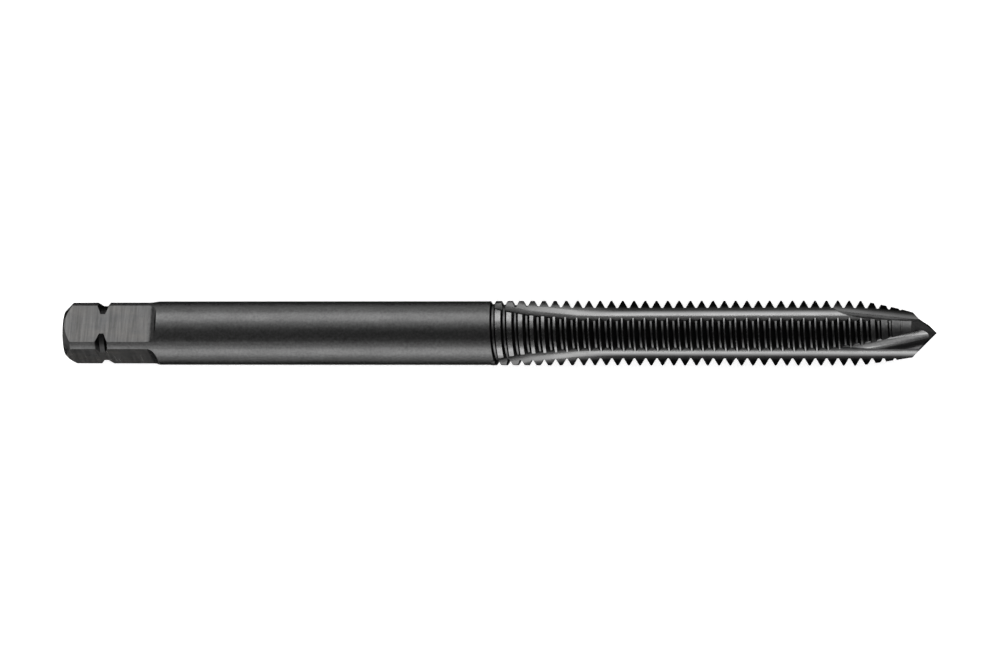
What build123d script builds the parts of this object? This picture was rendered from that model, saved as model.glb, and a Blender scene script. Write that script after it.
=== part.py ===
from build123d import *
import math
import os

# A thread-cutting tap for hand or machine use, made in one piece, in millimetres.
# The tool's axis is the X axis, the face of the square end lies at X = 0 and the
# point looks along +X. Turns about the axis are counted from +Z toward +Y, and one
# land of the thread faces +Z.

# Overall
body_length = 52.9
shank_diameter = 3.96
end_chamfer = 0.55

# Square drive
square_across = 3.12
square_length = 5.4
square_runout_radius = 0.64
square_turn = 25.15

# Ring groove round the square
ring_position = 2.52
ring_floor_width = 0.3
ring_side_angle = 40.0
ring_floor_diameter = 3.38

# Thread
thread_diameter = 4.0
thread_pitch = 0.7
thread_crest_width = 0.085
thread_root_width = 0.11
thread_flank_angle = 30.0
thread_first_depth = 0.19
thread_start = 26.8
thread_start_turn = 180.0
runout_turns = 7.5

# Cutting lead and point
lead_start = 49.7
point_diameter = 3.0
point_angle = 90.0

# Flutes
flute_count = 3
flute_radius = 1.02
core_radius = 1.06
flute_full_from = 33.8
flute_wheel_radius = 25.5
runout_steps = 4
runout_swing = 26.0
flute_first_turn = 60.0

# Angled grooves that give the cutting edges their spiral point
nose_radius = 0.8
nose_position = 50.1
nose_height = 1.7
nose_offset = 0.52
nose_dip = 10.85
nose_skew = 4.6

# Values worked out from the dimensions above
shank_radius = shank_diameter / 2
thread_radius = thread_diameter / 2
flank_slope = math.tan(math.radians(thread_flank_angle))
thread_depth = (thread_pitch - thread_crest_width - thread_root_width) / 2 / flank_slope
root_radius = thread_radius - thread_depth
point_radius = point_diameter / 2
point_length = point_radius / math.tan(math.radians(point_angle / 2))
overall_length = body_length + point_length
runout_length = runout_turns * thread_pitch
full_thread_start = thread_start + runout_length
clear_radius = 2 * thread_diameter
flute_axis_height = core_radius + flute_radius


def turned(shape, turn):
    """The shape turned about the tool's axis, from +Z toward +Y."""
    return Rot(X=-turn) * shape


def blank():
    """The turned blank: chamfered end, shank and the cylinder the thread is cut in."""
    edge = Polyline(
        (0, 0),
        (0, shank_radius - end_chamfer),
        (end_chamfer, shank_radius),
        (thread_start, shank_radius),
        (thread_start, thread_radius),
        (overall_length, thread_radius),
        (overall_length, 0),
        (0, 0),
    )
    return revolve(make_face(Plane.XZ * edge), Axis.X)


def lead_cutter():
    """What is ground off round the lead taper and the pointed end."""
    edge = Polyline(
        (lead_start, thread_radius),
        (body_length, point_radius),
        (overall_length, 0),
        (overall_length + thread_diameter, 0),
        (overall_length + thread_diameter, clear_radius),
        (lead_start, clear_radius),
        (lead_start, thread_radius),
    )
    return revolve(make_face(Plane.XZ * edge), Axis.X)


def flat_cutter():
    """What the milling cutter takes off the top to leave one flat of the square."""
    floor = square_across / 2
    back = -thread_diameter
    top = floor + square_runout_radius
    edge = Polyline(
        (square_length, floor),
        (back, floor),
        (back, clear_radius),
        (square_length + square_runout_radius, clear_radius),
        (square_length + square_runout_radius, top),
    )
    runout = RadiusArc(
        (square_length, floor),
        (square_length + square_runout_radius, top),
        -square_runout_radius,
    )
    face = make_face(Plane.XZ * Curve([edge, runout]))
    return extrude(face, amount=thread_diameter, both=True)


def ring_cutter():
    """A ring that leaves a groove with a flat floor in the corners of the square."""
    floor = ring_floor_diameter / 2
    rise = clear_radius - floor
    half_floor = ring_floor_width / 2
    half_mouth = half_floor + rise * math.tan(math.radians(ring_side_angle))
    edge = Polyline(
        (ring_position - half_floor, floor),
        (ring_position + half_floor, floor),
        (ring_position + half_mouth, clear_radius),
        (ring_position - half_mouth, clear_radius),
        (ring_position - half_floor, floor),
    )
    return revolve(make_face(Plane.XZ * edge), Axis.X)


def groove_section(path):
    """The thread groove's section at the start of its helix, open past the crest."""
    start = path @ 0
    along = path % 0
    outward = Vector(0, start.Y, start.Z).normalized()
    foot = thread_root_width / 2
    head = thread_pitch / 2 - thread_crest_width / 4
    reach = (head - foot) / flank_slope
    edge = Polyline((-foot, 0), (foot, 0), (head, reach), (-head, reach), (-foot, 0))
    plane = Plane(origin=start, x_dir=outward.cross(along), z_dir=along)
    return make_face(plane * edge)


def groove_cutter(path):
    """The thread groove swept along one helix."""
    return sweep(groove_section(path), path=path, is_frenet=True)


def full_groove():
    """The groove at full depth, from the end of the run-out to past the point."""
    turns = math.ceil((overall_length - full_thread_start) / thread_pitch) + 1
    path = Helix(
        thread_pitch,
        turns * thread_pitch,
        root_radius,
        center=(full_thread_start, 0, 0),
        direction=(1, 0, 0),
    )
    return groove_cutter(turned(path, -360 * runout_turns))


def shallow_groove():
    """The groove where the thread runs out at the shank, on a slightly conical helix."""
    rise = thread_depth - thread_first_depth
    taper = math.atan(rise / runout_length)
    path = Helix(
        thread_pitch / math.cos(taper),
        runout_length,
        thread_radius - thread_first_depth,
        center=(thread_start, 0, 0),
        direction=(1, 0, 0),
        cone_angle=-math.degrees(taper),
    )
    return groove_cutter(path)


def flute_cutter():
    """One flute at the top: straight from the point, then rising out in short steps."""
    height = flute_axis_height
    start = overall_length + thread_diameter
    points = [(start, height), (flute_full_from, height)]
    for step in range(1, runout_steps + 1):
        swing = math.radians(runout_swing * (step - 0.5) / runout_steps)
        reach = flute_wheel_radius * math.sin(swing)
        rise = flute_wheel_radius * (1 - math.cos(swing))
        points.append((flute_full_from - reach, height + rise))
    path = Plane.XZ * Polyline(*points)
    section = Plane.YZ * (Pos(0, height) * Circle(flute_radius))
    return sweep(Pos(start, 0, 0) * section, path=path, transition=Transition.RIGHT)


def nose_cutter():
    """The angled groove beside one flute, dipping toward the axis at the point."""
    back = 4 * thread_pitch
    length = overall_length - nose_position + back + thread_diameter
    tool = Cylinder(nose_radius, length, align=(Align.CENTER, Align.CENTER, Align.MIN))
    along = Vector(1, math.tan(math.radians(nose_skew)), -math.tan(math.radians(nose_dip)))
    middle = Vector(nose_position, nose_offset, nose_height)
    plane = Plane(origin=middle, x_dir=(0, 1, 0), z_dir=along)
    return plane * (Pos(0, 0, -back) * tool)


flute_turns = [flute_first_turn + 360 / flute_count * number for number in range(flute_count)]
part = turned(blank(), thread_start_turn)
part -= [turned(flute_cutter(), turn) for turn in flute_turns]
part -= turned(full_groove(), thread_start_turn)
part -= turned(shallow_groove(), thread_start_turn)
part -= lead_cutter()
for side in range(4):
    part -= turned(flat_cutter(), square_turn + 90 * side)
part -= ring_cutter()
part -= [turned(nose_cutter(), turn) for turn in flute_turns]

os.makedirs("parts", exist_ok=True)
thread_tap = part
thread_tap.label = "thread_tap"
export_step(thread_tap, "parts/thread_tap.step")
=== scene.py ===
import math
import bpy
from mathutils import Matrix, Vector


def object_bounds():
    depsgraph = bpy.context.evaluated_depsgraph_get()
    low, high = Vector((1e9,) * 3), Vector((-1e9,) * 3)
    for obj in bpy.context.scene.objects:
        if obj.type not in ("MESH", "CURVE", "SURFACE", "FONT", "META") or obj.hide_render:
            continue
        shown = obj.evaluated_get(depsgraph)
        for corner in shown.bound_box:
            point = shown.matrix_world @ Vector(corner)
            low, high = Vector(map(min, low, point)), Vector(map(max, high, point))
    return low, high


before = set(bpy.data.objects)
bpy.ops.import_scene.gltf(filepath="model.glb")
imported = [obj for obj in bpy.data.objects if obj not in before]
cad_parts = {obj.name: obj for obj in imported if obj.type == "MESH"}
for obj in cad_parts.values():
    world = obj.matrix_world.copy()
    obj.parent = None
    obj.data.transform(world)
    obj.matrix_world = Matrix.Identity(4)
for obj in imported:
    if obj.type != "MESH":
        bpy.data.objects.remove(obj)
cad_low, cad_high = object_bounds()

# A thread-cutting tap in black oxide lies along X with its square end at X = 0. The scene
# is in metres. Lengths on the tap are in millimetres, and so are the places in its finish.
MM = 0.001

# Camera: the photograph looks almost straight down, a little from the point's side
AIM = Vector((27.36, -0.025, 0.0)) * MM
CAMERA_DISTANCE = 333 * MM
CAMERA_SWING = math.radians(7.3)
CAMERA_LEAN = math.radians(3.3)
LENS_MM = 193.25
SENSOR_MM = 36.0
CLIP_NEAR = 0.01
CLIP_FAR = 10.0

# Floor and room, in metres. The glow is what the camera and the steel see of the floor
FLOOR_REACH = 3.0
FLOOR_GREY = 0.93
GLOW_RISES = (0.3, 1.0)
GLOW_NEAR_AND_FAR = (0.36, 1.0)
ROOM_GREY = 0.035

# Lamps, in metres and degrees: two long strips, two narrower ones nearer the top, and a
# pair that lights the two ends of the tap
STRIP_DISTANCE = 0.5
STRIP_LENGTH = 0.9
STRIP_WIDTH = 0.34
SOFT_WIDTH = 0.17
FILL_DISTANCE = 0.6
FILL_SIZE = 0.4
FILL_SWING = 48

# The part, as it is cut. Turns are counted about the axis from +Z toward +Y
SQUARE_TURN = math.radians(25.15)
SQUARE_SIDES = 4
SMALLEST_RADIUS = 0.01
RING_MIDDLE = 2.52
FLUTE_TURNS = [math.radians(turn) for turn in (60, 180, 300)]
NOSE_RADIUS = 0.8
NOSE_MIDDLE = Vector((50.1, 0.52, 1.7))
NOSE_SKEW = math.radians(4.6)
NOSE_DIP = math.radians(10.85)

# Where each kind of surface is. A share is 0 at the first value and 1 at the second.
# Endways is how far a surface faces along X, outward how far it faces away from the axis.
# Facing is the cosine of the turn off the middle of a flat or flute, times their number.
SQUARE_X = (6.1, 6.0)
FLAT_FACING = (0.985, 0.998)
FLAT_ENDWAYS = (0.1, 0.02)
RING_OFF_MIDDLE = (0.5, 0.45)
RING_FROM_AXIS = (1.95, 1.92)
THREAD_X = (26.73, 26.77)
FLANK_ENDWAYS = (0.3, 0.45)
CREST_X = (27.08, 27.16)
CREST_OUTWARD = (0.96, 0.985)
CREST_FROM_AXIS = (1.9, 1.94)
FLUTE_OUTWARD = (0.93, 0.85)
# Painted shade dims the flutes where they run out toward the shank, below the second X
FLUTE_RUNOUT_SHADE_X = (27.0, 34.0)
# Painted highlight on the floor of each flute, where it faces the flute's middle
FLUTE_HIGHLIGHT_FACING = (0.4, 1.0)
# Painted shade along each flute's sides next to the lands, coming in from the first X to the second
FLUTE_SHADE_FACING = (0.5, -0.4)
FLUTE_SHADE_X = (31.0, 35.0)
NOSE_OFF_WALL = (0.02, 0.01)
# Painted shade in the spiral-point groove on the +Y side: where it lies by Y, and lighter as its wall
# turns toward +Y
NOSE_SHADE_Y = (0.2, 0.6)
NOSE_SHADE_TURN = (math.radians(22), math.radians(58))

# How bright each kind of surface is
SHANK_LEVEL = 0.066
FLAT_LEVEL = 0.08
# Painted shade inside the ring groove
RING_SHADE_LEVEL = 0.02
CREST_LEVEL = 0.12
FLANK_LEVEL = 0.03
# A flute's level: painted shade where it runs out, then the ground steel's own level
FLUTE_RUNOUT_SHADE_AND_LEVEL = (0.05, 0.135)
# Painted highlight: the flute floors are made up to twice as bright
FLUTE_FLOOR_HIGHLIGHT_GAINS = (1.0, 2.0)
# Painted shade along the flutes' sides
FLUTE_SIDE_SHADE_LEVEL = 0.025
# Painted shade in the spiral-point groove on the +Y side, darkest to lightest
NOSE_SHADE_LEVELS = (0.02, 0.07)
EDGE_TINT = 0.12

# How rough each kind of surface is
SHANK_ROUGH = 0.34
FLAT_ROUGH = 0.4
CREST_ROUGH = 0.26
FLUTE_ROUGH = 0.22
ROUGH_SPREAD = 0.12

# Grain: the scale of each pattern, how it is stretched, and how far it changes the level
NOISE_DETAIL = 3
NOISE_MIDDLE = 0.5
SPECKLE_SCALE = 7.0
SPECKLE_GAINS = (0.5, 1.5)
SMOOTH_SPECKLE_GAINS = (0.85, 1.15)
MOTTLE_SCALE = 1.6
MOTTLE_STRETCH = (0.35, 1.0, 1.0)
MOTTLE_GAINS = (0.8, 1.2)
MILLED_SCALE = 1.3
MILLED_STRETCH = (5.0, 0.3, 0.3)
MILLED_GAINS = (0.35, 1.65)
MILLED_HEIGHT = 0.4
GROUND_SCALE = 2.0
GROUND_STRETCH = (0.25, 6.0, 6.0)
LATHE_SCALE = 14.0
LATHE_STRETCH = (1.0, 0.25, 1.0)
FLAT_WARMTH = (-0.03, 0.05)
BLUE_OF_WARMTH = 1.2
COARSE_GRAIN = 0.6
MOTTLE_GRAIN = 0.55
BUMP_STRENGTH = 0.35
BUMP_HEIGHT = 0.01 * MM


def toward(swing, lean):
    """A unit vector up out of the floor, swung toward +X and leaned toward +Y."""
    flat = math.cos(swing)
    return Vector((math.sin(swing), flat * math.sin(lean), flat * math.cos(lean)))


def place_facing(thing, back, distance):
    """Puts a camera or lamp back from the tap, facing it, with its own X along the tap."""
    bpy.context.scene.collection.objects.link(thing)
    thing.location = AIM + back * distance
    along = Vector((1, 0, 0))
    side = (along - back * along.dot(back)).normalized()
    turn = Matrix((side, back.cross(side), back)).transposed()
    thing.rotation_euler = turn.to_euler()


def make_camera():
    data = bpy.data.cameras.new("camera")
    data.sensor_width = SENSOR_MM
    data.lens = LENS_MM
    data.clip_start = CLIP_NEAR
    data.clip_end = CLIP_FAR
    camera = bpy.data.objects.new("camera", data)
    place_facing(camera, toward(CAMERA_SWING, CAMERA_LEAN), CAMERA_DISTANCE)
    bpy.context.scene.camera = camera


def make_floor():
    """A plain pale floor that the tap lies on."""
    mesh = bpy.data.meshes.new("floor")
    signs = ((-1, -1), (1, -1), (1, 1), (-1, 1))
    corners = [(x * FLOOR_REACH, y * FLOOR_REACH, cad_low.z) for x, y in signs]
    mesh.from_pydata(corners, [], [(0, 1, 2, 3)])
    floor = bpy.data.objects.new("floor", mesh)
    bpy.context.scene.collection.objects.link(floor)
    mesh.materials.append(floor_white())


def make_softbox(name, back, power, distance, length, width):
    """A soft lamp back from the tap, its long side along X."""
    data = bpy.data.lights.new(name, "AREA")
    data.shape = "RECTANGLE"
    data.size = length
    data.size_y = width
    data.energy = power
    place_facing(bpy.data.objects.new(name, data), back, distance)


def make_strip(name, power, lean, width):
    """A long lamp over the whole tap, leaned toward +Y."""
    back = toward(0.0, math.radians(lean))
    make_softbox(name, back, power, STRIP_DISTANCE, STRIP_LENGTH, width)


def make_fill(name, power, swing):
    """A square lamp over one end of the tap, swung toward +X."""
    back = toward(math.radians(swing), 0.0)
    make_softbox(name, back, power, FILL_DISTANCE, FILL_SIZE, FILL_SIZE)


def make_lights():
    make_strip("upper_strip", power=3.7, lean=65, width=STRIP_WIDTH)
    make_strip("lower_strip", power=3.7, lean=-68, width=STRIP_WIDTH)
    make_strip("upper_soft", power=0.5, lean=35, width=SOFT_WIDTH)
    make_strip("lower_soft", power=0.32, lean=-38, width=SOFT_WIDTH)
    make_fill("point_fill", power=0.3, swing=FILL_SWING)
    make_fill("drive_fill", power=1.6, swing=-FILL_SWING)
    world = bpy.data.worlds.new("room")
    world.use_nodes = True
    background = world.node_tree.nodes["Background"]
    background.inputs["Color"].default_value = (ROOM_GREY, ROOM_GREY, ROOM_GREY, 1)
    background.inputs["Strength"].default_value = 1
    bpy.context.scene.world = world


class Maker:
    """Adds nodes to one material, so that a recipe reads as formulas."""

    def __init__(self, name):
        self.material = bpy.data.materials.new(name)
        self.material.use_nodes = True
        self.nodes = self.material.node_tree.nodes
        self.links = self.material.node_tree.links
        self.nodes.clear()
        self.out = self.nodes.new("ShaderNodeOutputMaterial")

    def put(self, value, socket):
        if hasattr(value, "is_output"):
            self.links.new(value, socket)
        else:
            socket.default_value = value

    def math(self, operation, *values):
        node = self.nodes.new("ShaderNodeMath")
        node.operation = operation
        for place, value in enumerate(values):
            self.put(value, node.inputs[place])
        return node.outputs[0]

    def times(self, first, *others):
        result = first
        for other in others:
            result = self.math("MULTIPLY", result, other)
        return result

    def rest(self, share):
        """What a share leaves of 1."""
        return self.math("SUBTRACT", 1, share)

    def vector(self, operation, *values):
        node = self.nodes.new("ShaderNodeVectorMath")
        node.operation = operation
        for place, value in enumerate(values):
            self.put(value, node.inputs[place])
        return node.outputs["Value" if operation == "LENGTH" else "Vector"]

    def band(self, value, low, high, curve="SMOOTHSTEP"):
        """0 on low's side, 1 on high's side and a step between them."""
        node = self.nodes.new("ShaderNodeMapRange")
        node.interpolation_type = curve
        self.put(value, node.inputs["Value"])
        self.put(low, node.inputs["From Min"])
        self.put(high, node.inputs["From Max"])
        return node.outputs["Result"]

    def noise(self, place, scale, rough):
        node = self.nodes.new("ShaderNodeTexNoise")
        self.put(place, node.inputs["Vector"])
        self.put(scale, node.inputs["Scale"])
        self.put(NOISE_DETAIL, node.inputs["Detail"])
        self.put(rough, node.inputs["Roughness"])
        return node.outputs["Fac"]

    def blend(self, share, first, second):
        node = self.nodes.new("ShaderNodeMix")
        node.data_type = "FLOAT"
        self.put(share, node.inputs[0])
        self.put(first, node.inputs[2])
        self.put(second, node.inputs[3])
        return node.outputs[0]

    def join(self, x, y, z):
        node = self.nodes.new("ShaderNodeCombineXYZ")
        self.put(x, node.inputs[0])
        self.put(y, node.inputs[1])
        self.put(z, node.inputs[2])
        return node.outputs[0]

    def split(self, vector):
        node = self.nodes.new("ShaderNodeSeparateXYZ")
        self.put(vector, node.inputs[0])
        return node.outputs

    def beyond_line(self, place, point, along):
        """How far a place is from a line."""
        step = self.vector("SUBTRACT", place, point)
        return self.vector("LENGTH", self.vector("CROSS_PRODUCT", step, along))


def floor_white():
    """White that also glows where the camera sees it, directly or in the steel."""
    m = Maker("floor_white")
    path = m.nodes.new("ShaderNodeLightPath").outputs
    seen = m.math("MAXIMUM", path["Is Camera Ray"], path["Is Transmission Ray"])
    seen = m.math("MAXIMUM", seen, path["Is Glossy Ray"])
    away = m.vector("LENGTH", m.nodes.new("ShaderNodeTexCoord").outputs["Object"])
    far = m.band(away, *GLOW_RISES, curve="LINEAR")
    paint = m.nodes.new("ShaderNodeBsdfDiffuse")
    paint.inputs["Color"].default_value = (FLOOR_GREY, FLOOR_GREY, FLOOR_GREY, 1)
    glow = m.nodes.new("ShaderNodeEmission")
    glow.inputs["Color"].default_value = (1, 1, 1, 1)
    m.put(m.times(seen, m.blend(far, *GLOW_NEAR_AND_FAR)), glow.inputs["Strength"])
    both = m.nodes.new("ShaderNodeAddShader")
    m.links.new(paint.outputs[0], both.inputs[0])
    m.links.new(glow.outputs[0], both.inputs[1])
    m.links.new(both.outputs[0], m.out.inputs["Surface"])
    return m.material


def turned(vector, turn):
    """The vector turned about the tool's axis, from +Z toward +Y."""
    across = vector.y * math.cos(turn) + vector.z * math.sin(turn)
    up = vector.z * math.cos(turn) - vector.y * math.sin(turn)
    return Vector((vector.x, across, up))


class Surface:
    """Where a point of the tap lies, which way it faces and what kind of surface it is on."""

    def __init__(self, m):
        here = m.nodes.new("ShaderNodeTexCoord").outputs["Object"]
        facing = m.nodes.new("ShaderNodeNewGeometry").outputs["Normal"]
        self.x, self.y, self.z = [m.times(part, 1 / MM) for part in m.split(here)]
        nx, ny, nz = m.split(facing)
        self.place = m.join(self.x, self.y, self.z)
        self.radius = m.math("SQRT", m.math("ADD", m.times(self.y, self.y), m.times(self.z, self.z)))
        self.turn = m.math("ARCTAN2", self.y, self.z)
        self.facing_turn = m.math("ARCTAN2", ny, nz)
        self.endways = m.math("ABSOLUTE", nx)
        along_radius = m.math("ADD", m.times(ny, self.y), m.times(nz, self.z))
        self.outward = m.math("DIVIDE", along_radius, m.math("MAXIMUM", self.radius, SMALLEST_RADIUS))
        self.find_square(m)
        self.find_thread(m)
        self.in_nose = self.find_nose(m)

    def find_square(self, m):
        off_flat = m.math("SUBTRACT", self.facing_turn, SQUARE_TURN)
        flat_facing = m.math("COSINE", m.times(off_flat, SQUARE_SIDES))
        self.on_flat = m.times(
            m.band(flat_facing, *FLAT_FACING),
            m.band(self.x, *SQUARE_X),
            m.band(self.endways, *FLAT_ENDWAYS),
        )
        # Inside the ring groove, off the flats: where painted shade goes
        off_ring = m.math("ABSOLUTE", m.math("SUBTRACT", self.x, RING_MIDDLE))
        self.in_ring = m.times(
            m.band(off_ring, *RING_OFF_MIDDLE),
            m.band(self.radius, *RING_FROM_AXIS),
            m.rest(self.on_flat),
        )

    def find_thread(self, m):
        """Crests, flanks and flutes. The middle of each flute faces one of FLUTE_TURNS."""
        self.threaded = m.band(self.x, *THREAD_X)
        sideways = m.band(self.endways, *FLANK_ENDWAYS)
        self.on_flank = m.times(self.threaded, sideways)
        self.on_crest = m.times(
            m.band(self.x, *CREST_X),
            m.band(self.outward, *CREST_OUTWARD),
            m.band(self.radius, *CREST_FROM_AXIS),
        )
        self.in_flute = m.times(
            self.threaded,
            m.band(self.outward, *FLUTE_OUTWARD),
            m.rest(sideways),
        )
        land_facing = m.math("COSINE", m.times(self.facing_turn, len(FLUTE_TURNS)))
        self.flute_facing = m.times(land_facing, -1)

    def find_nose(self, m):
        """The walls of the three angled grooves of the spiral point."""
        share = 0.0
        straight = Vector((1, math.tan(NOSE_SKEW), -math.tan(NOSE_DIP))).normalized()
        for turn in FLUTE_TURNS:
            reach = m.beyond_line(self.place, turned(NOSE_MIDDLE, turn), turned(straight, turn))
            off_wall = m.math("ABSOLUTE", m.math("SUBTRACT", reach, NOSE_RADIUS))
            share = m.math("MAXIMUM", share, m.band(off_wall, *NOSE_OFF_WALL))
        return share


class Grain:
    """The patterns in the steel, each about 0.5 on average."""

    def __init__(self, m, s):
        self.speckle = m.noise(s.place, SPECKLE_SCALE, COARSE_GRAIN)
        self.mottle = self.stretched(m, s.place, MOTTLE_STRETCH, MOTTLE_SCALE, MOTTLE_GRAIN)
        self.milled = self.stretched(m, s.place, MILLED_STRETCH, MILLED_SCALE, COARSE_GRAIN)
        self.ground = self.stretched(m, s.place, GROUND_STRETCH, GROUND_SCALE, COARSE_GRAIN)
        round_about = m.join(s.x, s.turn, 0)
        self.lathe = self.stretched(m, round_about, LATHE_STRETCH, LATHE_SCALE, COARSE_GRAIN)

    def stretched(self, m, place, stretch, scale, rough):
        return m.noise(m.vector("MULTIPLY", place, stretch), scale, rough)


def steel_level(m, s, grain):
    """How bright the steel is, by the kind of surface and its grain. It also paints shade where the
    flutes run out, along the flutes' sides, in the spiral-point groove on the +Y side and inside the
    ring groove, and a painted highlight on the flute floors.
    """
    # Painted shade along the flutes' sides, outside the spiral-point grooves
    flute_side_shade = m.times(
        m.band(s.flute_facing, *FLUTE_SHADE_FACING),
        m.band(s.x, *FLUTE_SHADE_X),
        m.rest(s.in_nose),
    )
    # The flutes' own level, with painted shade where they run out
    flute_level_and_painted_light = m.blend(m.band(s.x, *FLUTE_RUNOUT_SHADE_X), *FLUTE_RUNOUT_SHADE_AND_LEVEL)
    # Painted highlight on the flute floors
    flute_floor_highlight = m.band(s.flute_facing, *FLUTE_HIGHLIGHT_FACING)
    flute_level_and_painted_light = m.times(flute_level_and_painted_light, m.blend(flute_floor_highlight, *FLUTE_FLOOR_HIGHLIGHT_GAINS))
    # Painted shade for the spiral-point groove, lighter as its wall faces further toward +Y
    nose_shade = m.blend(m.band(s.facing_turn, *NOSE_SHADE_TURN), *NOSE_SHADE_LEVELS)
    level = m.blend(s.on_flat, SHANK_LEVEL, FLAT_LEVEL)
    level = m.blend(s.on_crest, level, CREST_LEVEL)
    level = m.blend(s.in_flute, level, m.blend(flute_side_shade, flute_level_and_painted_light, FLUTE_SIDE_SHADE_LEVEL))
    level = m.blend(s.on_flank, level, FLANK_LEVEL)
    # The painted groove shade goes only on the spiral-point groove on the +Y side
    level = m.blend(m.times(s.in_nose, m.band(s.y, *NOSE_SHADE_Y)), level, nose_shade)
    # Painted shade inside the ring groove
    level = m.blend(s.in_ring, level, RING_SHADE_LEVEL)
    smooth = m.math("MAXIMUM", s.on_flat, s.in_flute)
    rough_speckle = m.blend(grain.speckle, *SPECKLE_GAINS)
    smooth_speckle = m.blend(grain.speckle, *SMOOTH_SPECKLE_GAINS)
    return m.times(
        level,
        m.blend(grain.mottle, *MOTTLE_GAINS),
        m.blend(smooth, rough_speckle, smooth_speckle),
        m.blend(s.on_flat, 1.0, m.blend(grain.milled, *MILLED_GAINS)),
    )


def steel_roughness(m, s, grain):
    rough = m.blend(s.on_flat, SHANK_ROUGH, FLAT_ROUGH)
    rough = m.blend(s.on_crest, rough, CREST_ROUGH)
    rough = m.blend(s.in_flute, rough, FLUTE_ROUGH)
    return m.math("ADD", rough, m.times(m.math("SUBTRACT", grain.speckle, NOISE_MIDDLE), ROUGH_SPREAD))


def steel_bump(m, s, grain):
    """Lathe marks on the shank, milling marks on the flats and grinding marks in the flutes."""
    plain = m.rest(m.math("MAXIMUM", s.on_flat, s.threaded))
    height = m.times(grain.lathe, plain)
    height = m.math("ADD", height, m.times(grain.milled, m.times(s.on_flat, MILLED_HEIGHT)))
    height = m.math("ADD", height, m.times(grain.ground, s.in_flute))
    bump = m.nodes.new("ShaderNodeBump")
    bump.inputs["Strength"].default_value = BUMP_STRENGTH
    bump.inputs["Distance"].default_value = BUMP_HEIGHT
    m.put(height, bump.inputs["Height"])
    return bump.outputs[0]


def black_oxide():
    """Blackened ground steel: a grey milled square, a fine turned shank and bright flutes. The flute
    floors are partly a painted highlight, and painted shade lies in some grooves and along the flutes'
    sides.
    """
    m = Maker("black_oxide")
    s = Surface(m)
    grain = Grain(m, s)
    level = steel_level(m, s, grain)
    warmth = m.times(s.on_flat, m.blend(grain.mottle, *FLAT_WARMTH))
    red = m.times(level, m.math("ADD", 1, warmth))
    blue = m.times(level, m.rest(m.times(warmth, BLUE_OF_WARMTH)))
    shade = m.nodes.new("ShaderNodeBsdfPrincipled")
    shade.inputs["Metallic"].default_value = 1.0
    shade.inputs["Specular Tint"].default_value = (EDGE_TINT, EDGE_TINT, EDGE_TINT, 1)
    m.put(m.join(red, level, blue), shade.inputs["Base Color"])
    m.put(steel_roughness(m, s, grain), shade.inputs["Roughness"])
    m.put(steel_bump(m, s, grain), shade.inputs["Normal"])
    m.links.new(shade.outputs[0], m.out.inputs["Surface"])
    return m.material


def dress_tap():
    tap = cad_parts["thread_tap"]
    finish = black_oxide()
    for slot in tap.material_slots:
        slot.material = finish


make_camera()
make_floor()
make_lights()
dress_tap()
bpy.context.scene.view_settings.view_transform = "Standard"
